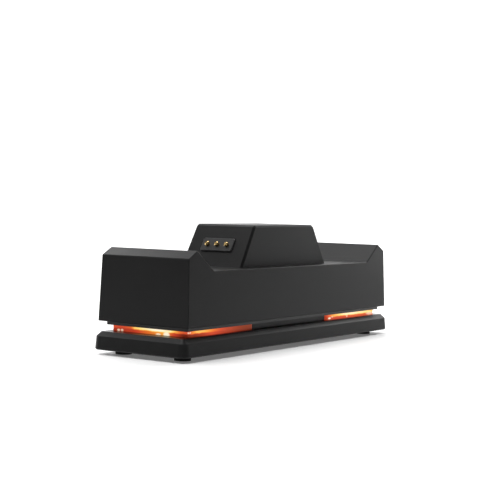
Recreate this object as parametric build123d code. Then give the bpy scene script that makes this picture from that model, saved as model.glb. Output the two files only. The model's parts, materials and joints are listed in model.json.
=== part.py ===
from build123d import *
import os
from math import cos, radians, sin, tan

# Charging dock with two cradles that lie back to back against a spine.
# Millimetres. X is the width, Y the length, Z is up. The origin is on the ground, under the middle.
# "Front" pieces lie towards -Y and "rear" pieces towards +Y.

# Base shell
base_length = 194.0
base_width = 56.0
base_height = 8.8
base_draft = 5.0
base_corner_radius = 4.0
base_chamfer = 2.2
base_rim_break = 0.6
base_wall = 2.0

# Feet
foot_diameter = 8.0
foot_proud = 2.4
foot_pocket_depth = 0.6
foot_end_inset = 12.0
foot_side_inset = 10.0

# Bottom plate
plate_thickness = 1.6
fit_gap = 0.2

# Light gap between the base and the housing
lamp_height = 3.0
lamp_end_inset = 6.0
lamp_side_inset = 4.1
lamp_wall = 3.0
lamp_corner_radius = 1.0
lamp_end_radius = 2.0
pedestal_length = 69.0
pedestal_setback = 0.8
pedestal_wall = 2.5
pedestal_gap = 0.15
column_size = 8.0

# Cradle housing
housing_end_inset = 3.6
housing_side_inset = 0.6
housing_wall = 2.2
housing_draft = 1.8
block_height = 32.0
bevel_run = 6.6
bevel_rise = 3.7
cradle_run = 12.9
cradle_drop = 9.8
peak_radius = 0.8
valley_radius = 1.5
housing_edge_break = 0.3
rim_break = 0.3

# Housing floor, with the island that rests on the light guides
floor_thickness = 2.0
floor_recess = 0.3
island_drop = 1.8
island_inset = 2.8
island_corner_radius = 1.0

# Spine between the two cradles
spine_width = 38.0
spine_foot_length = 80.0
spine_height = 21.0
spine_wall = 2.0
spine_edge_break = 1.0
lean_angle = 30.0
spine_hook_y = 18.0
spine_hook_width = 8.0
spine_hook_thickness = 1.2
spine_hook_setback = 0.6
spine_hook_reach = 0.8
spine_hook_height = 1.2

# Charging contacts, measured from the outer face of the spine
contact_count = 3
contact_pitch = 6.0
block_width = 20.0
block_tall = 8.0
block_proud = 0.8
block_depth = 7.0
block_corner_break = 0.8
block_flange_margin = 4.0
block_flange_thickness = 1.5
pocket_width = 4.4
pocket_tall = 6.4
clip_room = 3.0
clip_thickness = 1.0
clip_width = 4.0
clip_hook = 0.8
pin_radius = 1.15
pin_proud = 1.6
pin_tip_break = 0.5
pin_stop_depth = 1.4
pin_flange_size = 3.0
pin_flange_thickness = 0.8
running_gap = 0.05
leaf_width = 2.4
leaf_thickness = 0.2
leaf_bend = 0.4
leaf_foot_share = 0.4
leaf_tip_share = 0.26
contact_board_thickness = 1.0

# Main board
board_width = 24.0
board_length = 50.0
board_thickness = 0.8
board_seat = 0.3
board_pad_size = 4.0
board_clip_width = 10.0
board_clip_thickness = 1.2
board_clip_hook = 0.6
board_tab_length = 16.0
chip_size = 5.0
chip_height = 0.9
coil_size = 7.0
coil_height = 2.8
capacitor_size = (2.0, 1.25, 1.2)
capacitor_ys = (4.5, 7.0, 9.5)
connector_size = (9.0, 3.6, 1.6)

# Ribbons
ribbon_width = 6.0
ribbon_thickness = 0.3
contact_ribbon_y = 15.0
contact_ribbon_bend = 5.0
lamp_ribbon_y = 21.0
lamp_ribbon_bend = 1.2
lamp_ribbon_overlap = 6.0

# Lamp boards
lamp_board_thickness = 0.8
lamp_board_gap = 0.6
lamp_size = (2.8, 3.5, 1.4)
lamp_side_shares = (0.1, 0.44, 0.77)
lamp_end_shares = (-0.92, 0.33, 0.56)

# Power inlet, size of a small reversible plug
inlet_width = 8.94
inlet_height = 3.2
inlet_depth = 7.3
inlet_sheet = 0.3
inlet_setback = 0.4
inlet_gap = 0.25
inlet_tongue = (4.6, 6.7, 0.7)

# Ballast plates
ballast_length = 48.0
ballast_width = 32.0
ballast_thickness = 4.0
ballast_chamfer = 2.0
ballast_rib = 1.2
ballast_rib_height = 1.5

# Column screws, which clamp the bottom plate, the base and the housing together
screw_head_radius = 2.6
screw_head_height = 1.1
screw_radius = 1.45
screw_length = 22.0
screw_hole_gap = 0.15
thread_gap = 0.02
head_gap = 0.3
recess_width = 0.6
recess_share = 0.6

# Levels
rim_z = foot_proud
base_top_z = rim_z + base_height
base_ceiling_z = base_top_z - base_wall
plate_top_z = rim_z + plate_thickness
screw_seat_z = rim_z + screw_head_height
screw_end_z = screw_seat_z + screw_length
board_low_z = plate_top_z + board_seat
board_top_z = board_low_z + board_thickness
island_z = base_top_z + lamp_height
housing_z = island_z + island_drop
floor_low_z = housing_z + floor_recess
floor_top_z = floor_low_z + floor_thickness
face_top_z = housing_z + block_height
peak_z = face_top_z + bevel_rise
cradle_z = peak_z - cradle_drop
spine_top_z = cradle_z + spine_height
lamp_board_top_z = base_top_z + lamp_board_thickness

# Outlines
housing_length = base_length - 2 * housing_end_inset
housing_width = base_width - 2 * housing_side_inset
lamp_length = housing_length - 2 * lamp_end_inset
lamp_width = housing_width - 2 * lamp_side_inset
pedestal_width = lamp_width - 2 * pedestal_setback
face_y = housing_length / 2 - block_height * tan(radians(housing_draft))
peak_y = face_y - bevel_run
cradle_y = peak_y - cradle_run
ballast_y = (pedestal_length + lamp_length) / 4
foot_x = base_width / 2 - foot_side_inset
foot_y = base_length / 2 - foot_end_inset
column_x = (pedestal_width - column_size) / 2
column_y = (pedestal_length - column_size) / 2
base_slope = tan(radians(base_draft))
board_edge_x = -base_width / 2 + base_wall + (board_top_z - rim_z) * base_slope + fit_gap
inlet_z = board_top_z + inlet_height / 2
inlet_x = -base_width / 2 + (inlet_z + inlet_height / 2 - rim_z) * base_slope + inlet_setback
contact_z = cradle_z + spine_height / 2
contact_y = spine_foot_length / 2 - spine_height / 2 * tan(radians(lean_angle))
contact_xs = [contact_pitch * (i - (contact_count - 1) / 2) for i in range(contact_count)]
holder_width = block_width + 2 * clip_room
contact_board_width = holder_width - 2 * (clip_thickness + fit_gap)
contact_board_back = -block_depth - contact_board_thickness
pin_flange_back = -pin_stop_depth - pin_flange_thickness

STANDING = (Align.CENTER, Align.CENTER, Align.MIN)


def corners(x, y):
    """The four places at plus and minus x and y."""
    return [(sx * x, sy * y) for sx in (-1, 1) for sy in (-1, 1)]


def box_between(x, y, low, high):
    """Box between two X values, two Y values and two levels."""
    place = Pos((x[0] + x[1]) / 2, (y[0] + y[1]) / 2, low)
    return place * Box(abs(x[1] - x[0]), abs(y[1] - y[0]), high - low, align=STANDING)


def slab(width, length, low, high, radius=0.0):
    """Upright block round the Z axis, with rounded corners where a radius is given."""
    outline = RectangleRounded(width, length, radius) if radius > 0 else Rectangle(width, length)
    return extrude(Pos(0, 0, low) * outline, high - low)


def post(place, radius, low, high):
    return Pos(place[0], place[1], low) * Cylinder(radius, high - low, align=STANDING)


def column(place, low, high):
    """Square column round a column screw."""
    return Pos(place[0], place[1], low) * Box(column_size, column_size, high - low, align=STANDING)


def side_prism(points, width, rounded=None):
    """Outline in Y and Z, drawn across the dock's width."""
    outline = Plane.YZ * Polygon(*points, align=None)
    for place, radius in (rounded or {}).items():
        near = [v for v in outline.vertices() if abs(abs(v.Y) - place[0]) + abs(v.Z - place[1]) < radius / 10]
        outline = fillet(near, radius)
    return extrude(outline, width / 2, both=True)


def column_screw(place):
    """Pan-head screw that points up, with a cross recess in its head."""
    head = post(place, screw_head_radius, rim_z, screw_seat_z)
    shank = post(place, screw_radius, screw_seat_z, screw_end_z)
    recess_length = 2 * recess_share * screw_head_radius
    recess_depth = recess_share * screw_head_height
    recess = Box(recess_length, recess_width, recess_depth, align=STANDING)
    at_head = Pos(place[0], place[1], rim_z)
    return head + shank - at_head * recess - at_head * Rot(0, 0, 90) * recess


def column_screws():
    return Compound(children=[column_screw(place) for place in corners(column_x, column_y)])


def cradle_plane(side):
    """Frame on a leaning face of the spine: X across, Y up the slope, Z out of the face."""
    lean = radians(lean_angle)
    outward = (0, side * cos(lean), sin(lean))
    return Plane((0, side * contact_y, contact_z), x_dir=(-side, 0, 0), z_dir=outward)


# Base

def base_shell():
    body = base_form(0, base_top_z)
    body = chamfer(body.edges().group_by(Axis.Z)[-1], base_chamfer)
    body = chamfer(body.edges().group_by(Axis.Z)[0], base_rim_break)
    body -= base_form(base_wall, base_ceiling_z)
    body += pedestal()
    window_width = pedestal_width - 2 * column_size - pedestal_wall
    body -= slab(window_width, pedestal_length - 2 * pedestal_wall, rim_z, island_z)
    for place in corners(column_x, column_y):
        body -= post(place, screw_radius + screw_hole_gap, rim_z, island_z)
    slot_low = lamp_board_top_z - ribbon_thickness
    slot_high = lamp_board_top_z + 2 * ribbon_thickness
    body -= slab(ribbon_width + 2 * ribbon_thickness, pedestal_length, slot_low, slot_high)
    mouth = SlotOverall(inlet_width + 2 * inlet_gap, inlet_height + 2 * inlet_gap)
    return body - extrude(Plane.YZ * Pos(0, inlet_z) * mouth, -base_width)


def base_form(inset, high):
    """Drafted block that stands on the base's rim level, inset from its outline."""
    radius = max(base_corner_radius - inset, base_wall / 2)
    outline = RectangleRounded(base_width - 2 * inset, base_length - 2 * inset, radius)
    return extrude(Pos(0, 0, rim_z) * outline, high - rim_z, taper=base_draft)


def pedestal():
    """Ring that carries the housing's middle; its corner columns stand on the bottom plate."""
    root_z = base_ceiling_z + base_wall / 2
    ring = slab(pedestal_width, pedestal_length, root_z, island_z)
    inner_width = pedestal_width - 2 * pedestal_wall
    inner_length = pedestal_length - 2 * pedestal_wall
    ring -= slab(inner_width, inner_length, base_top_z, island_z)
    for place in corners(column_x, column_y):
        ring += column(place, plate_top_z, island_z)
    return ring


def bottom_plate():
    plate = base_form(base_wall + fit_gap, plate_top_z) + board_holders() + ballast_ribs(-1) + ballast_ribs(1)
    for place in corners(foot_x, foot_y):
        plate -= post(place, foot_diameter / 2 + fit_gap, rim_z, rim_z + foot_pocket_depth)
    for place in corners(column_x, column_y):
        plate -= post(place, screw_head_radius + head_gap, rim_z, screw_seat_z)
        plate -= post(place, screw_radius + screw_hole_gap, rim_z, plate_top_z)
    return plate


def board_holders():
    """Pads under the main board's corners and a snap clip at each of its ends."""
    root_z = plate_top_z - plate_thickness / 2
    half_length = board_length / 2
    half_width = board_width / 2
    clip_x = (-board_clip_width / 2, board_clip_width / 2)
    hook_low = board_top_z
    hook_high = board_top_z + board_clip_hook
    parts = []
    for side in (-1, 1):
        pad_y = (side * (half_length - board_pad_size), side * half_length)
        for across in (-1, 1):
            pad_x = (across * (half_width - board_pad_size), across * half_width)
            parts.append(box_between(pad_x, pad_y, root_z, board_low_z))
        inner_y = side * (half_length + fit_gap)
        outer_y = side * (half_length + fit_gap + board_clip_thickness)
        hook_y = side * (half_length - board_clip_hook)
        parts.append(box_between(clip_x, (inner_y, outer_y), root_z, hook_high))
        parts.append(box_between(clip_x, (hook_y, outer_y), hook_low, hook_high))
    return Part() + parts


def ballast_ribs(side):
    """Low rib round the place of a ballast plate."""
    width = ballast_width + 2 * fit_gap
    length = ballast_length + 2 * fit_gap
    root_z = plate_top_z - plate_thickness / 2
    high = plate_top_z + ballast_rib_height
    ring = slab(width + 2 * ballast_rib, length + 2 * ballast_rib, root_z, high)
    return Pos(0, side * ballast_y) * (ring - slab(width, length, root_z, high))


def foot(place):
    return post(place, foot_diameter / 2, 0, foot_proud + foot_pocket_depth)


def ballast(side):
    plate = slab(ballast_width, ballast_length, plate_top_z, plate_top_z + ballast_thickness)
    plate = chamfer(plate.edges().filter_by(Axis.Z), ballast_chamfer)
    return Pos(0, side * ballast_y) * plate


# Electronics in the base

def main_board():
    half_tab = board_tab_length / 2
    board = slab(board_width, board_length, board_low_z, board_top_z)
    return board + box_between((board_edge_x, 0), (-half_tab, half_tab), board_low_z, board_top_z)


def on_board(x, y, size):
    return Pos(x, y, board_top_z) * Box(*size, align=STANDING)


def charge_chip():
    chip = on_board(board_width / 4, 0, (chip_size, chip_size, chip_height))
    return chamfer(chip.edges().group_by(Axis.Z)[-1], chip_height / 6)


def power_coil():
    coil = on_board(-board_width / 4, -coil_size, (coil_size, coil_size, coil_height))
    return fillet(coil.edges().filter_by(Axis.Z), coil_size / 6)


def board_capacitors():
    beside_chip = [side * y for side in (-1, 1) for y in capacitor_ys[:2]]
    places = [(board_width / 4, y) for y in beside_chip] + [(-board_width / 4, y) for y in capacitor_ys]
    return Compound(children=[on_board(x, y, capacitor_size) for x, y in places])


def ribbon_connectors():
    """Four sockets on the main board, each with a slit that takes a ribbon."""
    sockets = []
    for y in (contact_ribbon_y, lamp_ribbon_y):
        for side in (-1, 1):
            socket = on_board(0, side * y, connector_size)
            slit = on_board(0, side * y, (ribbon_width, ribbon_thickness, connector_size[2]))
            sockets.append(socket - Pos(0, 0, connector_size[2] / 2) * slit)
    return Compound(children=sockets)


def inlet_socket():
    outer = Plane.YZ * Pos(0, inlet_z) * SlotOverall(inlet_width, inlet_height)
    hollow_width = inlet_width - 2 * inlet_sheet
    hollow_height = inlet_height - 2 * inlet_sheet
    hollow = Plane.YZ * Pos(0, inlet_z) * SlotOverall(hollow_width, hollow_height)
    shell = extrude(outer, inlet_depth) - extrude(hollow, inlet_depth - 2 * inlet_sheet)
    return Pos(inlet_x) * shell


def inlet_tongue_piece():
    length, width, height = inlet_tongue
    back_x = inlet_x + inlet_depth - 2 * inlet_sheet
    facing = (Align.MAX, Align.CENTER, Align.CENTER)
    blade = Pos(back_x, 0, inlet_z) * Box(length, width, height, align=facing)
    return chamfer(blade.edges().group_by(Axis.X)[0].filter_by(Axis.Y), height / 4)


# Light gap

def light_guide(side):
    """U-shaped bar round one end of the gap; its legs stop at the pedestal."""
    ring = slab(lamp_width, lamp_length, base_top_z, island_z, lamp_corner_radius)
    inner_radius = max(lamp_corner_radius - lamp_wall, lamp_wall / 4)
    inner_width = lamp_width - 2 * lamp_wall
    inner_length = lamp_length - 2 * lamp_wall
    ring -= slab(inner_width, inner_length, base_top_z, island_z, inner_radius)
    leg_end = pedestal_length / 2 + pedestal_gap
    half = Pos(0, side * leg_end, base_top_z)
    facing = (Align.CENTER, Align.MIN if side > 0 else Align.MAX, Align.MIN)
    guide = ring & (half * Box(lamp_width, lamp_length, lamp_height, align=facing))
    outer_x = (lamp_width - lamp_wall) / 2
    outer = [e for e in guide.edges().filter_by(Axis.Z) if abs(e.center().X) > outer_x]
    leg_ends = [e for e in outer if abs(abs(e.center().Y) - leg_end) < pedestal_gap]
    return fillet(leg_ends, lamp_end_radius)


def lamp_board(side):
    width = lamp_width - 2 * lamp_wall - 2 * lamp_board_gap
    near_y = pedestal_length / 2 + lamp_board_gap
    far_y = lamp_length / 2 - lamp_wall - lamp_board_gap
    board = slab(width, far_y - near_y, base_top_z, lamp_board_top_z)
    return Pos(0, side * (near_y + far_y) / 2) * board


def lamps(side):
    """Lamp packages along the edge of a lamp board, facing the guide."""
    length, width, height = lamp_size
    margin = lamp_wall + lamp_board_gap + length / 2
    edge_x = lamp_width / 2 - margin
    end_y = lamp_length / 2 - margin
    near_y = pedestal_length / 2
    leg = lamp_length / 2 - near_y
    package = Box(length, width, height, align=STANDING)
    row = [Pos(sx * edge_x, near_y + share * leg) * package for sx in (-1, 1) for share in lamp_side_shares]
    row += [Pos(-share * edge_x, end_y) * Rot(0, 0, 90) * package for share in lamp_end_shares]
    turn = Pos(0, 0, lamp_board_top_z) * Rot(0, 0, 0 if side > 0 else 180)
    return Compound(children=[turn * lamp for lamp in row])


# Ribbons

def ribbon(points, bend):
    """Flat strip along a bent line in the middle plane of the dock."""
    path = FilletPolyline(*[(0, y, z) for y, z in points], radius=bend)
    section = Plane(path @ 0, x_dir=(1, 0, 0), z_dir=path % 0) * Rectangle(ribbon_width, ribbon_thickness)
    return sweep(section, path=path)


def contact_ribbon(side):
    plane = cradle_plane(side)
    start = plane.from_local_coords(Vector(0, 0, contact_board_back - connector_size[2]))
    level_at_bend = start.Z - (abs(start.Y) - contact_ribbon_y) * tan(radians(lean_angle))
    socket_top = board_top_z + connector_size[2]
    down_y = side * contact_ribbon_y
    points = [(start.Y, start.Z), (down_y, level_at_bend), (down_y, socket_top)]
    return ribbon(points, contact_ribbon_bend)


def lamp_ribbon(side):
    socket_top = board_top_z + connector_size[2]
    level = lamp_board_top_z + ribbon_thickness / 2
    end_y = side * (pedestal_length / 2 + lamp_ribbon_overlap)
    points = [(side * lamp_ribbon_y, socket_top), (side * lamp_ribbon_y, level), (end_y, level)]
    return ribbon(points, lamp_ribbon_bend)


# Housing

def housing_form(inset):
    """Drafted box cut to the dock's side profile. The inset form is the hollow inside it."""
    box_low = Pos(0, 0, housing_z) * Rectangle(housing_width - 2 * inset, housing_length - 2 * inset)
    box = extrude(box_low, spine_top_z - housing_z, taper=housing_draft)
    out_y = housing_length / 2 + 2 * housing_wall
    out_z = face_top_z - (out_y - face_y) * bevel_rise / bevel_run
    low_z = housing_z - 2 * housing_wall
    half = [(out_y, low_z), (out_y, out_z), (peak_y, peak_z), (cradle_y, cradle_z)]
    points = half + [(-y, z) for y, z in reversed(half)]
    if inset == 0:
        rounded = {(peak_y, peak_z): peak_radius, (cradle_y, cradle_z): valley_radius}
        return box & side_prism(points, base_width, rounded)
    outline = offset(Plane.YZ * Polygon(*points, align=None), -inset, kind=Kind.INTERSECTION)
    return box & extrude(outline, base_width / 2, both=True)


def soften_housing(form):
    """Break the upper edges and the lower rim."""
    near = housing_edge_break / 4
    across = form.edges().filter_by(Axis.X)
    tops = [e for e in across if abs(abs(e.center().Y) - face_y) < near and e.center().Z > cradle_z]
    sides = [e for e in form.edges() if e not in across and e.center().Z > housing_z + near]
    form = chamfer(tops + sides, housing_edge_break)
    return chamfer(form.edges().group_by(Axis.Z)[0], rim_break)


def cradle_housing():
    form = soften_housing(housing_form(0))
    form -= housing_form(housing_wall)
    trim = housing_form(housing_wall / 2)
    hole_top = screw_end_z + screw_radius
    for place in corners(column_x, column_y):
        form += column(place, floor_top_z, peak_z) & trim
        form -= post(place, screw_radius + thread_gap, floor_top_z, hole_top)
    floor_low = cradle_z - 2 * housing_wall
    form -= slab(2 * ribbon_width, 2 * (contact_ribbon_y + ribbon_width / 2), floor_low, peak_z)
    for across, along in corners(1, 1):
        form -= spine_hook_room(across, along, floor_low)
    return form


def housing_floor():
    inset = housing_wall + fit_gap
    plate = slab(housing_width - 2 * inset, housing_length - 2 * inset, floor_low_z, floor_top_z)
    island_width = housing_width - 2 * island_inset
    island_length = housing_length - 2 * island_inset
    root_z = floor_low_z + floor_thickness / 2
    plate += slab(island_width, island_length, island_z, root_z, island_corner_radius)
    plate -= slab(2 * ribbon_width, 2 * (contact_ribbon_y + ribbon_width / 2), island_z, floor_top_z)
    for place in corners(column_x, column_y):
        plate -= post(place, screw_radius + screw_hole_gap, island_z, floor_top_z)
    return plate


# Spine

def spine_form(inset):
    """Ridge with two leaning faces; the inset form is the hollow inside it."""
    lean = tan(radians(lean_angle))
    low_z = cradle_z - inset * 2
    foot = spine_foot_length / 2 + (cradle_z - low_z) * lean
    top = spine_foot_length / 2 - spine_height * lean
    points = [(foot, low_z), (top, spine_top_z), (-top, spine_top_z), (-foot, low_z)]
    outline = Plane.YZ * Polygon(*points, align=None)
    if inset > 0:
        outline = offset(outline, -inset, kind=Kind.INTERSECTION)
    box_low = Pos(0, 0, cradle_z) * Rectangle(spine_width - 2 * inset, 2 * spine_foot_length)
    box = extrude(box_low, spine_height, taper=housing_draft)
    return box & extrude(outline, spine_width, both=True)


def spine_cover():
    form = spine_form(0)
    upper = [e for e in form.edges() if e.center().Z > cradle_z + spine_edge_break]
    form = chamfer(upper, spine_edge_break)
    form -= spine_form(spine_wall)
    for across, along in corners(1, 1):
        form += spine_hook(across, along)
    for side in (-1, 1):
        form -= cradle_plane(side).location * contact_nose(0, -2 * spine_wall, spine_wall)
    return form


def spine_hook(across, along):
    """Snap hook that reaches through the cradle floor and catches under it."""
    outer_x = spine_width / 2 - spine_hook_setback
    inner_x = outer_x - spine_hook_thickness
    y = (along * spine_hook_y - spine_hook_width / 2, along * spine_hook_y + spine_hook_width / 2)
    catch_z = cradle_z - housing_wall - fit_gap
    low_z = catch_z - spine_hook_height
    arm = box_between((across * inner_x, across * outer_x), y, low_z, cradle_z + spine_wall)
    hook_x = (across * (inner_x - spine_hook_reach), across * outer_x)
    return arm + box_between(hook_x, y, low_z, catch_z)


def spine_hook_room(across, along, low_z):
    """Slot in the cradle floor that a snap hook goes in by."""
    outer_x = spine_width / 2 - spine_hook_setback
    inner_x = outer_x - spine_hook_thickness - spine_hook_reach
    half = spine_hook_width / 2 + fit_gap
    x = (across * (inner_x - fit_gap), across * (outer_x + fit_gap))
    y = (along * spine_hook_y - half, along * spine_hook_y + half)
    return box_between(x, y, low_z, peak_z)


# Charging contacts, drawn on the spine's face and then placed on both sides

def contact_nose(gap, low, high):
    """Window in the spine's face, or with a gap the nose of the block that fills it."""
    form = slab(block_width - 2 * gap, block_tall - 2 * gap, low, high)
    return chamfer(form.edges().filter_by(Axis.Z), block_corner_break)


def contact_block():
    nose = contact_nose(fit_gap, -block_depth, block_proud)
    nose = chamfer(nose.edges().group_by(Axis.Z)[-1], block_proud / 2)
    flange_low = -spine_wall - block_flange_thickness
    block = nose + slab(holder_width, block_tall + block_flange_margin, flange_low, -spine_wall)
    block += slab(holder_width, block_tall, -block_depth, -spine_wall)
    for side in (-1, 1):
        block += board_clip(side)
    for x in contact_xs:
        block -= post((x, 0), pin_radius + running_gap, -block_depth, block_proud)
        block -= Pos(x) * slab(pocket_width, pocket_tall, -block_depth, -pin_stop_depth)
    return block


def board_clip(side):
    """Snap arm that hooks behind the contact board."""
    outer_x = side * holder_width / 2
    arm_x = (outer_x, outer_x - side * clip_thickness)
    hook_x = (outer_x, outer_x - side * (clip_thickness + fit_gap + clip_hook))
    y = (-clip_width / 2, clip_width / 2)
    hook_low = contact_board_back - clip_hook
    arm = box_between(arm_x, y, hook_low, -block_depth + clip_thickness)
    return arm + box_between(hook_x, y, hook_low, contact_board_back)


def contact_pin():
    """Round pin with a bevelled tip and a square stop behind the block's front wall."""
    head = post((0, 0), pin_radius, pin_flange_back, block_proud + pin_proud)
    head = chamfer(head.edges().sort_by(Axis.Z)[-1], pin_tip_break)
    return head + slab(pin_flange_size, pin_flange_size, pin_flange_back, -pin_stop_depth)


def contact_spring():
    """Bent leaf spring between the contact board and the back of a pin."""
    foot_y = pocket_tall * leaf_foot_share
    tip_y = pocket_tall * leaf_tip_share
    foot_z = -block_depth + leaf_thickness / 2
    crest_z = pin_flange_back - leaf_thickness / 2
    points = [(foot_y, foot_z), (-foot_y, foot_z), (0, crest_z), (tip_y, crest_z - tip_y / 2)]
    path = FilletPolyline(*[(0, y, z) for y, z in points], radius=leaf_bend)
    section = Plane(path @ 0, x_dir=(1, 0, 0), z_dir=path % 0) * Rectangle(leaf_width, leaf_thickness)
    return sweep(section, path=path)


def contact_board():
    return slab(contact_board_width, block_tall, contact_board_back, -block_depth)


def contact_connector():
    width, depth, height = connector_size
    outer_z = contact_board_back - height
    body = slab(width, depth, outer_z, contact_board_back)
    return body - slab(ribbon_width, ribbon_thickness, outer_z, outer_z + height / 2)


def place_contacts(pieces, side, name):
    plane = cradle_plane(side).location
    pieces[f"contact_block_{name}"] = plane * contact_block()
    pieces[f"contact_board_{name}"] = plane * contact_board()
    pieces[f"contact_connector_{name}"] = plane * contact_connector()
    pieces[f"contact_ribbon_{name}"] = contact_ribbon(side)
    for number, x in enumerate(contact_xs, start=1):
        pieces[f"contact_pin_{name}_{number}"] = plane * Pos(x) * contact_pin()
        pieces[f"contact_spring_{name}_{number}"] = plane * Pos(x) * contact_spring()


def build_pieces():
    pieces = {
        "base_shell": base_shell(),
        "bottom_plate": bottom_plate(),
        "main_board": main_board(),
        "charge_chip": charge_chip(),
        "power_coil": power_coil(),
        "board_capacitors": board_capacitors(),
        "ribbon_connectors": ribbon_connectors(),
        "inlet_socket": inlet_socket(),
        "inlet_tongue": inlet_tongue_piece(),
        "housing_floor": housing_floor(),
        "cradle_housing": cradle_housing(),
        "column_screws": column_screws(),
        "spine_cover": spine_cover(),
    }
    for number, place in enumerate(corners(foot_x, foot_y), start=1):
        pieces[f"foot_{number}"] = foot(place)
    for side, name in ((-1, "front"), (1, "rear")):
        pieces[f"ballast_{name}"] = ballast(side)
        pieces[f"light_guide_{name}"] = light_guide(side)
        pieces[f"lamp_board_{name}"] = lamp_board(side)
        pieces[f"lamps_{name}"] = lamps(side)
        pieces[f"lamp_ribbon_{name}"] = lamp_ribbon(side)
        place_contacts(pieces, side, name)
    return pieces


os.makedirs("parts", exist_ok=True)
for node, shape in build_pieces().items():
    export_step(shape, f"parts/{node}.step")
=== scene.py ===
# %% [markdown]
# # A charging dock with a floating housing
# The dock is a long black base with a housing that floats over it. Amber light shows in the gap at both ends.
# Two sloped cradles lie back to back, and a spine with gold contacts rises between them.
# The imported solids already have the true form, so this lesson is mostly about finishes, light and the camera.

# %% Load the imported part
import json
import math

import bmesh
import bpy
from mathutils import Matrix, Vector

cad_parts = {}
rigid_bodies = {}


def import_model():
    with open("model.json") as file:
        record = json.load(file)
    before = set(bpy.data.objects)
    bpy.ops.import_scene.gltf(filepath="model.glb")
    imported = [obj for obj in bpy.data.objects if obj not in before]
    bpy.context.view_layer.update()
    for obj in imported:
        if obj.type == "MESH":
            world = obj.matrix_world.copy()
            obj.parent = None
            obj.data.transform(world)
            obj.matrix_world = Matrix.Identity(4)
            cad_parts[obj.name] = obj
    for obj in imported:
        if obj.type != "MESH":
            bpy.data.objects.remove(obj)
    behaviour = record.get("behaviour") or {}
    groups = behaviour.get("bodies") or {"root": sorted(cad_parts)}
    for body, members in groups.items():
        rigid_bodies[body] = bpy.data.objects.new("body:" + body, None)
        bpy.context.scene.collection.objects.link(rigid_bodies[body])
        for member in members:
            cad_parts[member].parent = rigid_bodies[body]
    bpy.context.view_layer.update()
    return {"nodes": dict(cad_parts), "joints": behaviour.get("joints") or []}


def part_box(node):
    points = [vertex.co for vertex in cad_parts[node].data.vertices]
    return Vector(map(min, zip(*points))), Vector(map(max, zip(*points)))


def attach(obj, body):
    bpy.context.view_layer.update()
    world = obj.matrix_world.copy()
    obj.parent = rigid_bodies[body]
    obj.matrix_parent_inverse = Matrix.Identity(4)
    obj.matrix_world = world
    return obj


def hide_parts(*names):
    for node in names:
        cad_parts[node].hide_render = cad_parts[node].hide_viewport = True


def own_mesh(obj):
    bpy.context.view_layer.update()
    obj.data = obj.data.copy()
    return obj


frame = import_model()
nodes = frame["nodes"]
mm = 0.001

# %% [markdown]
# ## Writing shader maths as Python
# Every finish here varies a little over its surface, and that takes sums and products of node sockets.
# Wiring Math nodes one by one is hard to read. A small class that wraps a socket and overloads the operators
# lets a pattern read like arithmetic, and each operator adds its own Math node.

# %% A socket that does arithmetic
class Field:
    """One output socket of a finish, ready for sums."""

    def __init__(self, finish, socket):
        self.finish = finish
        self.socket = socket

    def math(self, operation, first, second=0.0):
        return self.finish.node("ShaderNodeMath", {"operation": operation}, {0: first, 1: second})

    def __add__(self, other):
        return self.math("ADD", self, other)

    def __radd__(self, other):
        return self.math("ADD", other, self)

    def __sub__(self, other):
        return self.math("SUBTRACT", self, other)

    def __rsub__(self, other):
        return self.math("SUBTRACT", other, self)

    def __mul__(self, other):
        return self.math("MULTIPLY", self, other)

    def __rmul__(self, other):
        return self.math("MULTIPLY", other, self)

    def __truediv__(self, other):
        return self.math("DIVIDE", self, other)

    def __abs__(self):
        return self.math("ABSOLUTE", self)

    def below(self, limit):
        return self.math("LESS_THAN", self, limit)

    def fraction(self):
        return self.math("FRACT", self)

    def rise(self, low, high):
        """0 below low, 1 above high, and a smooth step between."""
        sockets = {"Value": self, "From Min": low, "From Max": high}
        return self.finish.node("ShaderNodeMapRange", {"interpolation_type": "SMOOTHSTEP"}, sockets)


def blend(share, first, second):
    """A number between two numbers."""
    return first + (second - first) * share


print("Field overloads + - * / and abs")

# %% [markdown]
# ## One object per finish
# A finish is a material with a single Principled shader. Its `node` method adds any other node: the settings,
# such as a ramp's stops, go in first, because they can change which sockets the node has.
# Object coordinates are used throughout. Each piece sits at the origin, so they are plain metres
# in the dock's frame.

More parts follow.
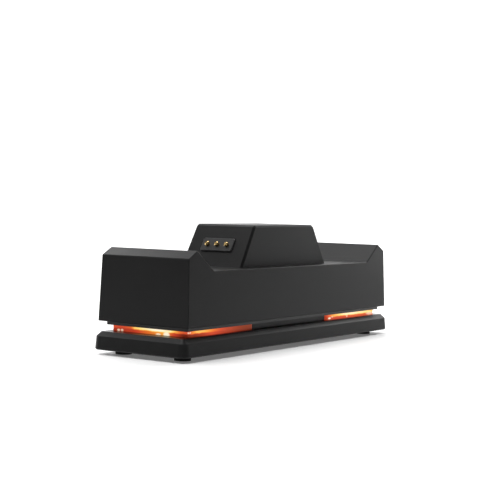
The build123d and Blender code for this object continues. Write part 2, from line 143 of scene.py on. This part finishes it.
# %% A finish and its node maker
class Finish:
    """A material, its Principled shader and helpers for the patterns on it."""

    def __init__(self, name, **constants):
        self.material = bpy.data.materials.new(name)
        self.material.use_nodes = True
        self.tree = self.material.node_tree
        self.tree.nodes.clear()
        self.shader = self.tree.nodes.new("ShaderNodeBsdfPrincipled")
        output = self.tree.nodes.new("ShaderNodeOutputMaterial")
        self.tree.links.new(self.shader.outputs["BSDF"], output.inputs["Surface"])
        for socket, value in constants.items():
            self.shader.inputs[socket.replace("_", " ")].default_value = value
        self.place = self.node("ShaderNodeTexCoord", output="Object")

    def node(self, kind, settings=None, sockets=None, output=0):
        made = self.tree.nodes.new(kind)
        for name, value in (settings or {}).items():
            if name == "stops":
                set_stops(made.color_ramp, value)
            else:
                setattr(made, name, value)
        for name, value in (sockets or {}).items():
            self.feed(made.inputs[name], value)
        return Field(self, made.outputs[output])

    def feed(self, socket, value):
        if isinstance(value, Field):
            self.tree.links.new(value.socket, socket)
        else:
            socket.default_value = value

    def use(self, **inputs):
        for name, value in inputs.items():
            self.feed(self.shader.inputs[name.replace("_", " ")], value)

    def axes(self):
        """X, Y and Z of the surface, in metres."""
        return [self.node("ShaderNodeSeparateXYZ", None, {"Vector": self.place}, axis) for axis in "XYZ"]

    def grain(self, size, detail=2.0, roughness=0.5):
        """Soft noise from 0 to 1 with features of about that size in metres."""
        sockets = {"Vector": self.place, "Scale": 1.0 / size, "Detail": detail, "Roughness": roughness}
        return self.node("ShaderNodeTexNoise", None, sockets)

    def mix(self, share, first, second):
        """A colour between two colours. The node's colour sockets come after those of its other types."""
        return self.node("ShaderNodeMix", {"data_type": "RGBA"}, {0: share, 6: first, 7: second}, 2)

    def ramp(self, value, stops):
        return self.node("ShaderNodeValToRGB", {"stops": stops}, {"Fac": value}, "Color")

    def bump(self, height, depth):
        """Raise the surface by up to that depth in metres."""
        sockets = {"Height": height, "Distance": depth, "Strength": 1.0}
        self.use(Normal=self.node("ShaderNodeBump", None, sockets, "Normal"))


def set_stops(color_ramp, stops):
    """Put the ramp's stops where a list of (place, colour) says."""
    while len(color_ramp.elements) < len(stops):
        color_ramp.elements.new(1.0)
    for element, (place, colour) in zip(color_ramp.elements, stops):
        element.position = place
        element.color = colour


def rgb(red, green, blue):
    return (red, green, blue, 1.0)


def paint(finish, *names):
    """Give the finish to the CAD nodes with these names."""
    for name in names:
        nodes[name].data.materials.clear()
        nodes[name].data.materials.append(finish.material)


print("Finish makes a material and its nodes")

# %% [markdown]
# ## Black moulded plastic
# The housing, base and spine are injection-moulded in black, with the fine matte grain that a spark-eroded
# mould leaves. A grain could be real geometry, but it is a fiftieth of a millimetre deep, so a bump will do.
# A second, wide noise moves the roughness a little, because no moulding is equally dull all over.
# The top of the base has no grain inside the light gap, so that it mirrors the glow above it a little.

# %% Black plastics
mottle_size = 26 * mm
grain_size = 0.35 * mm
grain_depth = 0.02 * mm
smooth_reach = 0.1 * mm
smooth_roughness = 0.3
below_the_dock = -1.0


def moulded_black(name, shade, dullness, gloss, smooth_z=below_the_dock):
    """Black plastic with a fine grain, except on a face at the smooth level."""
    plastic = Finish(name, Specular_IOR_Level=gloss)
    mottle = plastic.grain(mottle_size, 3.0)
    fine = plastic.grain(grain_size, 2.0, 0.6)
    smooth = abs(plastic.axes()[2] - smooth_z).below(smooth_reach)
    dark = rgb(shade * 0.9, shade * 0.9, shade * 0.92)
    light = rgb(shade * 1.12, shade * 1.12, shade * 1.14)
    grained = dullness + (mottle - 0.5) * 0.1 + (fine - 0.5) * 0.08
    plastic.use(Base_Color=plastic.mix(mottle, dark, light))
    plastic.use(Roughness=blend(smooth, grained, smooth_roughness))
    plastic.bump(fine * (1.0 - smooth), grain_depth)
    return plastic


gap_low_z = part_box("light_guide_front")[0].z
housing_black = moulded_black("housing black", 0.008, 0.4, 0.15)
base_black = moulded_black("base black", 0.008, 0.4, 0.15, gap_low_z)
# The inner floor is darker than the housing above it: painted shade for where it sits back under the housing's
# edge.
floor_black_painted_shade = moulded_black("inner painted-shade black", 0.005, 0.35, 0.3)
insulator_black = moulded_black("insulator black", 0.022, 0.36, 0.3)
paint(housing_black, "cradle_housing", "spine_cover")
paint(base_black, "base_shell", "bottom_plate")
paint(floor_black_painted_shade, "housing_floor")
paint(insulator_black, "contact_block_front", "contact_block_rear", "inlet_tongue", "charge_chip")
print("black plastics on", [n for n in nodes if nodes[n].data.materials[0].name.endswith("black")])

# %% [markdown]
# ## The glowing light guides
# Each guide is a clear amber bar, bent in a U, with lamps behind it. The lamps stand low, and the bar's top
# edge turns their light outwards, so it shows two bands: a yellow upper one and an orange to red lower one,
# with a white-hot spot in front of each lamp. A real clear bar with real lamps would need thousands of light
# paths to settle. Here the glow is worked out instead: how bright each band is along the bar is a short list
# of given levels, and one ramp turns a level into deep red, orange, yellow and near white. The glare
# of the lamps is laid over it. The rear guide is the front one turned half round, so both share one pattern.

# %% Levels along the guide
guide_low, guide_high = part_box("light_guide_rear")
guide_height = guide_high.z - guide_low.z
guide_half_width = guide_high.x
guide_end_y = guide_high.y
leg_length = guide_high.y - guide_low.y

# Place along a face from 0 to 1, then the level there. The end runs from left to right as seen from outside,
# and the legs run from the corner to their free ends.
end_upper = [
    (0.0, 0.4), (0.12, 0.33), (0.25, 0.45), (0.3, 0.74), (0.44, 0.88), (0.6, 1.0), (0.77, 0.86), (0.89, 0.46),
    (1.0, 0.34),
]
end_lower = [(0.0, 0.2), (0.28, 0.3), (0.44, 0.47), (0.68, 0.62), (0.77, 0.44), (0.93, 0.06), (1.0, 0.06)]
right_leg_upper = [(0.0, 0.42), (0.12, 0.7), (0.22, 0.69), (0.57, 0.25), (0.82, 0.08), (1.0, 0.04)]
right_leg_lower = [(0.0, 0.07), (0.08, 0.08), (0.33, 0.37), (0.82, 0.06), (1.0, 0.02)]
left_leg_upper = [(0.0, 0.7), (0.1, 0.81), (0.5, 0.92), (0.65, 0.88), (0.88, 0.6), (1.0, 0.22)]
left_leg_lower = [(0.0, 0.38), (0.45, 0.4), (0.88, 0.31), (1.0, 0.2)]
# Glare: place along the face, share of the height, half length and half height in metres, strength.
end_glare = [
    (0.085, 0.18, 0.9 * mm, 0.5 * mm, 0.6),
    (0.132, 0.2, 0.8 * mm, 0.55 * mm, 0.55),
    (0.61, 0.0, 1.5 * mm, 0.75 * mm, 0.75),
    (0.715, 0.06, 1.8 * mm, 1.5 * mm, 1.0),
    (0.62, 0.86, 2.6 * mm, 0.5 * mm, 0.7),
    (0.99, 0.7, 0.45 * mm, 0.4 * mm, 0.6),
]
right_leg_glare = [
    (0.02, 0.74, 0.45 * mm, 0.4 * mm, 0.6),
]
left_leg_glare = [
    (0.925, 0.3, 1.4 * mm, 0.5 * mm, 0.95),
    (0.87, 0.5, 1.0 * mm, 0.35 * mm, 0.5),
    (0.57, 0.3, 0.7 * mm, 0.5 * mm, 0.6),
    (0.08, 0.36, 4.0 * mm, 0.9 * mm, 0.5),
]
glare_edge = (0.3, 1.7)
glare_white = rgb(1.0, 0.9, 0.66)
amber_stops = [
    (0.0, rgb(0.035, 0.003, 0.001)),
    (0.15, rgb(0.22, 0.02, 0.008)),
    (0.36, rgb(0.54, 0.05, 0.022)),
    (0.5, rgb(0.72, 0.15, 0.022)),
    (0.64, rgb(0.92, 0.4, 0.06)),
    (0.8, rgb(1.0, 0.74, 0.2)),
    (1.0, rgb(1.0, 0.98, 0.78)),
]
corner_start = 1.0 * mm
corner_end = 0.4 * mm
band_low = 0.36
band_high = 0.64
waver_size = 3.0 * mm
waver_share = 0.3
print("guide:", [round(length / mm, 1) for length in (guide_half_width, leg_length, guide_height)], "mm")


# %% Amber guides
class AmberFace:
    """One face of a guide: where a point lies along it, and how bright it is there."""

    def __init__(self, finish, along, share_up, length):
        self.finish = finish
        self.along = along
        self.share_up = share_up
        self.length = length

    def level(self, stops):
        """A number that follows a list of (place, level)."""
        return self.finish.ramp(self.along, [(place, rgb(level, level, level)) for place, level in stops])

    def glare(self, spots):
        """The sum of the oval bright spots in front of the lamps."""
        total = 0.0
        for place, height, half_length, half_height, strength in spots:
            across = (self.along - place) * (self.length / half_length)
            upward = (self.share_up - height) * (guide_height / half_height)
            total = total + strength * (1.0 - (across * across + upward * upward).rise(*glare_edge))
        return total


def amber_guide(name, side):
    """The glow of one guide: side is 1 at the rear and -1 at the front."""
    amber = Finish(name, Base_Color=rgb(0.35, 0.06, 0.01), Roughness=0.3, IOR=1.49, Specular_IOR_Level=0.08)
    x, y, z = amber.axes()
    outward = y * side
    leftward = x * side
    share_up = (z - guide_low.z) / guide_height
    end = AmberFace(amber, 0.5 - leftward / (2 * guide_half_width), share_up, 2 * guide_half_width)
    leg = AmberFace(amber, (guide_end_y - outward) / leg_length, share_up, leg_length)
    on_end = outward.rise(guide_end_y - corner_start, guide_end_y - corner_end)
    on_left = leftward.rise(-corner_start, corner_start)

    def over_faces(on_right_leg, on_left_leg, on_face):
        return blend(on_end, blend(on_left, on_right_leg, on_left_leg), on_face)

    upper = over_faces(leg.level(right_leg_upper), leg.level(left_leg_upper), end.level(end_upper))
    lower = over_faces(leg.level(right_leg_lower), leg.level(left_leg_lower), end.level(end_lower))
    glare = over_faces(leg.glare(right_leg_glare), leg.glare(left_leg_glare), end.glare(end_glare))
    waver = (amber.grain(waver_size) - 0.5) * waver_share
    band = (share_up + waver).rise(band_low, band_high)
    glow = amber.ramp(blend(band, lower, upper), amber_stops)
    amber.use(Emission_Color=amber.mix(glare, glow, glare_white), Emission_Strength=1.0)
    return amber


front_amber = amber_guide("front amber", -1)
rear_amber = amber_guide("rear amber", 1)
paint(front_amber, "light_guide_front")
paint(rear_amber, "light_guide_rear")
print("amber nodes:", len(front_amber.tree.nodes))

# %% [markdown]
# ## Lamps, boards and ribbons
# The lamps are small resin blocks on green boards, joined to the main board by flat ribbons. All of it is
# inside. Plain colours would do, but anyone who opens the model sees these pieces, so each gets the mark of
# its trade: copper tracks under green lacquer, conductors in the ribbon, silver ends on the capacitors.

# %% Electronics
cell_size = 4 * mm
track_share = 0.07
conductor_pitch = 1.0 * mm
conductor_share = 0.28
capacitor_half_length = 1.0 * mm
capacitor_half_body = 0.55 * mm


def lamp_resin():
    resin = Finish("lamp resin", Roughness=0.3, Emission_Strength=3.0)
    speck = resin.grain(1.2 * mm)
    resin.use(Base_Color=resin.mix(speck, rgb(1.0, 0.62, 0.2), rgb(1.0, 0.8, 0.4)))
    resin.use(Emission_Color=resin.mix(speck, rgb(1.0, 0.45, 0.08), rgb(1.0, 0.62, 0.2)))
    return resin


def board_lacquer():
    lacquer = Finish("board lacquer", Specular_IOR_Level=0.5)
    settings = {"feature": "DISTANCE_TO_EDGE"}
    cells = lacquer.node("ShaderNodeTexVoronoi", settings, {"Vector": lacquer.place, "Scale": 1 / cell_size})
    track = cells.below(track_share)
    lacquer.use(Base_Color=lacquer.mix(track, rgb(0.012, 0.09, 0.035), rgb(0.05, 0.22, 0.07)))
    lacquer.use(Roughness=0.3 + 0.15 * lacquer.grain(3 * mm))
    lacquer.bump(track, 0.03 * mm)
    return lacquer


def ribbon_film():
    film = Finish("ribbon film", Coat_Weight=0.3)
    x = film.axes()[0]
    conductor = abs((x / conductor_pitch).fraction() - 0.5).below(conductor_share)
    film.use(Base_Color=film.mix(conductor, rgb(0.55, 0.25, 0.05), rgb(0.75, 0.42, 0.16)))
    film.use(Roughness=0.3 + 0.1 * film.grain(4 * mm))
    return film


def connector_ivory():
    ivory = Finish("connector ivory", Specular_IOR_Level=0.4)
    speck = ivory.grain(1.5 * mm, 3.0)
    ivory.use(Base_Color=ivory.mix(speck, rgb(0.7, 0.66, 0.56), rgb(0.82, 0.79, 0.7)))
    ivory.use(Roughness=0.4 + 0.15 * speck)
    return ivory


def capacitor_ends():
    ceramic = Finish("capacitor ceramic")
    x = ceramic.axes()[0]
    low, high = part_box("board_capacitors")
    middle = (low.x + high.x) / 2
    row = (high.x - low.x) / 2 - capacitor_half_length
    end = 1.0 - abs(abs(x - middle) - row).below(capacitor_half_body)
    ceramic.use(Base_Color=ceramic.mix(end, rgb(0.32, 0.2, 0.1), rgb(0.75, 0.75, 0.74)))
    ceramic.use(Metallic=end, Roughness=0.35 + 0.2 * ceramic.grain(0.6 * mm))
    return ceramic


def coil_ferrite():
    ferrite = Finish("coil ferrite", Metallic=0.2)
    speck = ferrite.grain(0.5 * mm, 4.0)
    ferrite.use(Base_Color=ferrite.mix(speck, rgb(0.05, 0.05, 0.055), rgb(0.11, 0.11, 0.115)))
    ferrite.use(Roughness=0.55 + 0.2 * speck)
    ferrite.bump(speck, 0.02 * mm)
    return ferrite


sides = ("front", "rear")
paint(lamp_resin(), *[f"lamps_{side}" for side in sides])
kinds = ("lamp", "contact")
paint(board_lacquer(), "main_board", *[f"{kind}_board_{side}" for kind in kinds for side in sides])
paint(ribbon_film(), *[f"{kind}_ribbon_{side}" for kind in kinds for side in sides])
paint(connector_ivory(), "ribbon_connectors", *[f"contact_connector_{side}" for side in sides])
paint(capacitor_ends(), "board_capacitors")
paint(coil_ferrite(), "power_coil")
print("electronics painted")

# %% [markdown]
# ## Metal and rubber
# The contact pins are gold-plated and polished, the screws zinc-plated and dark, the ballast is rolled steel
# plate, and the inlet is drawn nickel sheet. Metals differ by colour and by the direction of their fine
# marks, so one function with a stretched noise serves them all. The feet are dull rubber with a pebbled face.

# %% Metals and rubber
mark_depth = 0.004 * mm


def worked_metal(name, dark, light, dullness, mark_size, stretch):
    """Metal with fine marks that can be stretched along an axis."""
    metal = Finish(name, Metallic=1.0)
    mapping = metal.node("ShaderNodeMapping", None, {"Vector": metal.place, "Scale": stretch})
    sockets = {"Vector": mapping, "Scale": 1.0 / mark_size, "Detail": 3.0}
    marks = metal.node("ShaderNodeTexNoise", None, sockets)
    metal.use(Base_Color=metal.mix(marks, dark, light))
    metal.use(Roughness=dullness + 0.12 * marks)
    metal.bump(marks, mark_depth)
    return metal


even = (1.0, 1.0, 1.0)
rolled = (6.0, 0.4, 1.0)
drawn = (0.4, 3.0, 3.0)
contact_gold = worked_metal("contact gold", rgb(0.83, 0.55, 0.2), rgb(0.95, 0.7, 0.32), 0.14, 0.5 * mm, even)
leaf_bronze = worked_metal("leaf bronze", rgb(0.55, 0.36, 0.2), rgb(0.68, 0.47, 0.28), 0.25, 0.5 * mm, even)
screw_zinc = worked_metal("screw zinc", rgb(0.16, 0.16, 0.17), rgb(0.26, 0.26, 0.27), 0.32, 0.6 * mm, even)
ballast_steel = worked_metal(
    "ballast steel", rgb(0.3, 0.3, 0.31), rgb(0.44, 0.44, 0.45), 0.4, 1.2 * mm, rolled,
)
inlet_nickel = worked_metal(
    "inlet nickel", rgb(0.52, 0.51, 0.5), rgb(0.64, 0.63, 0.62), 0.24, 0.6 * mm, drawn,
)


def foot_rubber():
    rubber = Finish("foot rubber", Specular_IOR_Level=0.3)
    pebble = rubber.grain(0.7 * mm, 2.0)
    rubber.use(Base_Color=rubber.mix(pebble, rgb(0.012, 0.012, 0.012), rgb(0.022, 0.022, 0.022)))
    rubber.use(Roughness=0.75 + 0.15 * pebble)
    rubber.bump(pebble, 0.06 * mm)
    return rubber


pin_names = [name for name in nodes if name.startswith("contact_pin")]
paint(contact_gold, *pin_names)
paint(screw_zinc, "column_screws")
paint(ballast_steel, "ballast_front", "ballast_rear")
paint(inlet_nickel, "inlet_socket")
paint(foot_rubber(), *[name for name in nodes if name.startswith("foot")])
print(len(pin_names), "gold pins")

# %% [markdown]
# ## Leaf springs behind the pins
# Behind each pin a bent bronze leaf stands on the contact board. When the pin is pushed in, the leaf
# flattens. Each leaf here is a merged copy of its solid that rides on the dock in the solid's place.

# %% Leaf springs
merge_distance = 0.001 * mm


def leaf_spring(joint):
    """The leaf behind one pin: a merged copy of its solid, on the joint's parent in the solid's place."""
    node = joint["deforming_nodes"][0]["node"]
    leaf = bpy.data.objects.new(node.replace("contact_spring", "leaf"), nodes[node].data.copy())
    bpy.context.scene.collection.objects.link(leaf)
    shape = bmesh.new()
    shape.from_mesh(leaf.data)
    bmesh.ops.remove_doubles(shape, verts=shape.verts, dist=merge_distance)
    shape.to_mesh(leaf.data)
    shape.free()
    leaf.data.materials.clear()
    leaf.data.materials.append(leaf_bronze.material)
    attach(leaf, joint["parent"])
    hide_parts(node)
    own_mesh(leaf)
    return leaf


leaves = [leaf_spring(joint) for joint in frame["joints"]]
print("leaf springs:", [leaf.name for leaf in leaves])

# %% [markdown]
# ## Floor, light and camera
# The dock stands on a seamless white sweep: a floor that curves up behind it, so that no horizon shows.
# A wide soft box overhead lights the sweep and the dock, and a second one keeps the backdrop white. Black
# plastic shows its form only by what it mirrors, so three small lights are there to be mirrored: a strip
# over the left that fades along the front bevel, a card at the left for the rounded corners, and a strip
# behind for the far end of the side. The camera stands low at the corner of the dock, at the place that makes
# its edges fall where they fall in the picture.

# %% Sweep
def studio_sweep():
    """A strip of floor, spun a quarter turn up into a wall and then extruded."""
    half = 4.0
    reach = 2.0
    curve = 1.0
    curve_steps = 24
    shape = bmesh.new()
    edge = [shape.verts.new((-half, -half, 0.0)), shape.verts.new((half, -half, 0.0))]
    row = shape.edges.new(edge)
    grown = bmesh.ops.extrude_edge_only(shape, edges=[row])["geom"]
    front = [item for item in grown if isinstance(item, bmesh.types.BMEdge)]
    row = [e for e in front if all(v not in edge for v in e.verts)]
    bmesh.ops.translate(shape, verts=row[0].verts, vec=(0.0, half + reach, 0.0))
    middle = (0.0, reach, curve)
    turned = bmesh.ops.spin(
        shape, geom=row, cent=middle, axis=(1.0, 0.0, 0.0), angle=math.pi / 2, steps=curve_steps,
    )["geom_last"]
    wall = bmesh.ops.extrude_edge_only(shape, edges=[e for e in turned if isinstance(e, bmesh.types.BMEdge)])
    top = [v for v in wall["geom"] if isinstance(v, bmesh.types.BMVert)]
    bmesh.ops.translate(shape, verts=top, vec=(0.0, 0.0, half))
    bmesh.ops.recalc_face_normals(shape, faces=shape.faces)
    mesh = bpy.data.meshes.new("sweep")
    shape.to_mesh(mesh)
    shape.free()
    for face in mesh.polygons:
        face.use_smooth = True
    sweep = bpy.data.objects.new("sweep", mesh)
    bpy.context.scene.collection.objects.link(sweep)
    return sweep


camera_azimuth = math.radians(34.595)
sweep = studio_sweep()
sweep.data.transform(Matrix.Rotation(camera_azimuth, 4, "Z"))
paper = Finish("white paper", Base_Color=rgb(0.9, 0.9, 0.9), Roughness=0.5, Specular_IOR_Level=0.3)
paper.use(Emission_Color=rgb(1.0, 1.0, 1.0), Emission_Strength=0.14)
sweep.data.materials.append(paper.material)
print("sweep faces:", len(sweep.data.polygons))

# %% Lights
def soft_box(name, place, aim, size, power):
    """A rectangular area light that looks at a point. Size is in metres and power in watts."""
    lamp = bpy.data.lights.new(name, "AREA")
    lamp.shape = "RECTANGLE"
    lamp.size, lamp.size_y = size
    lamp.energy = power
    box = bpy.data.objects.new(name, lamp)
    box.location = place
    box.rotation_euler = (Vector(aim) - Vector(place)).to_track_quat("-Z", "Y").to_euler()
    bpy.context.scene.collection.objects.link(box)
    return box


def from_camera(right, away, up):
    """A place measured across and away from the camera's line of sight."""
    turn = Matrix.Rotation(camera_azimuth, 3, "Z")
    return turn @ Vector((right, away, up))


dock_middle = (0.0, 0.0, 0.03)
front_bevel = (-0.02, -0.09, 0.05)
right_side_end = (0.027, 0.09, 0.03)
soft_box("overhead", from_camera(-0.5, -0.5, 1.5), dock_middle, (1.4, 1.4), 26.0)
soft_box("backdrop light", from_camera(0.0, 0.9, 2.0), from_camera(0.0, 2.6, 0.3), (3.5, 1.2), 85.0)
soft_box("left strip", (-0.27, 0.03, 0.25), front_bevel, (0.1, 0.1), 0.12)
soft_box("left card", (-0.6, -0.09, 0.1), dock_middle, (0.3, 0.3), 0.8)
soft_box("rear strip", (0.08, 0.34, 0.13), right_side_end, (0.1, 0.2), 0.3)
room_light = 0.06
world = bpy.data.worlds.new("studio")
bpy.context.scene.world = world
world.use_nodes = True
background = world.node_tree.nodes["Background"]
background.inputs["Color"].default_value = rgb(1.0, 1.0, 1.0)
background.inputs["Strength"].default_value = room_light
bpy.context.scene.view_settings.view_transform = "Standard"

# %% Camera
camera_place = Vector((0.37844, -0.55395, 0.0755))
camera_pitch = math.radians(2.246)
camera_roll = math.radians(1.2)
camera_lens = 91.3

optics = bpy.data.cameras.new("camera")
optics.sensor_width = 36.0
optics.lens = camera_lens
optics.clip_start = 0.01
optics.clip_end = 50.0
camera = bpy.data.objects.new("camera", optics)
bpy.context.scene.collection.objects.link(camera)
level = Matrix.Rotation(camera_azimuth, 4, "Z") @ Matrix.Rotation(math.pi / 2 - camera_pitch, 4, "X")
camera.matrix_world = Matrix.Translation(camera_place) @ level @ Matrix.Rotation(camera_roll, 4, "Z")
bpy.context.scene.camera = camera
print("camera at", [round(side, 3) for side in camera.location])
